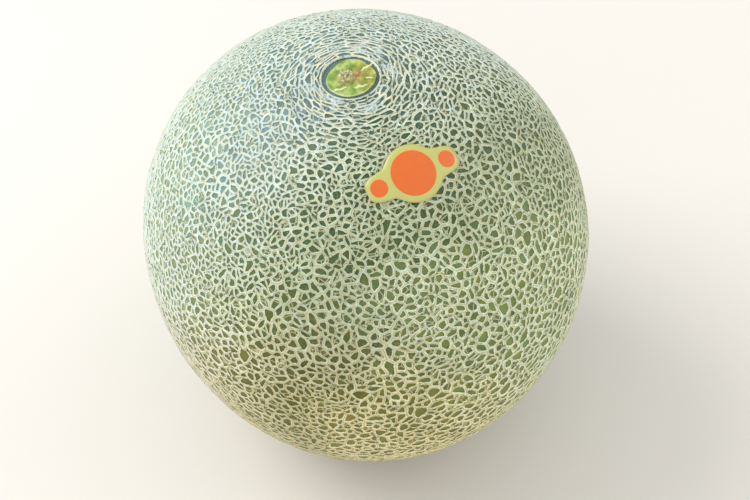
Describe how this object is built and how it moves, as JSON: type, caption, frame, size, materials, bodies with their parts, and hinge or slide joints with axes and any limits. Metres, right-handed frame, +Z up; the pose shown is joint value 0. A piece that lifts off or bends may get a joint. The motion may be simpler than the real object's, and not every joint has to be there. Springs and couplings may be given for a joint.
{
  "type": "netted melon",
  "caption": "Round netted melon with a raised corky net over green skin, a stem scar on top, a small flat to rest on and a plain orange sticker.",
  "frame": {"origin": "centre of the small flat spot at the blossom end, which the fruit rests on", "axes": "+Z up through the stem scar; the pictured side faces -Y, with the sticker to the right of the stem there"},
  "size_m": [0.1494, 0.1501, 0.1539],
  "materials": {
    "rind": "pale corky net, dull and rough, over smooth blue-green skin with a soft sheen",
    "sticker": "satin coated paper, orange with a yellow-green edge"
  },
  "bodies": {
    "root": {"melon": "rind", "sticker": "sticker"}
  },
  "joints": []
}
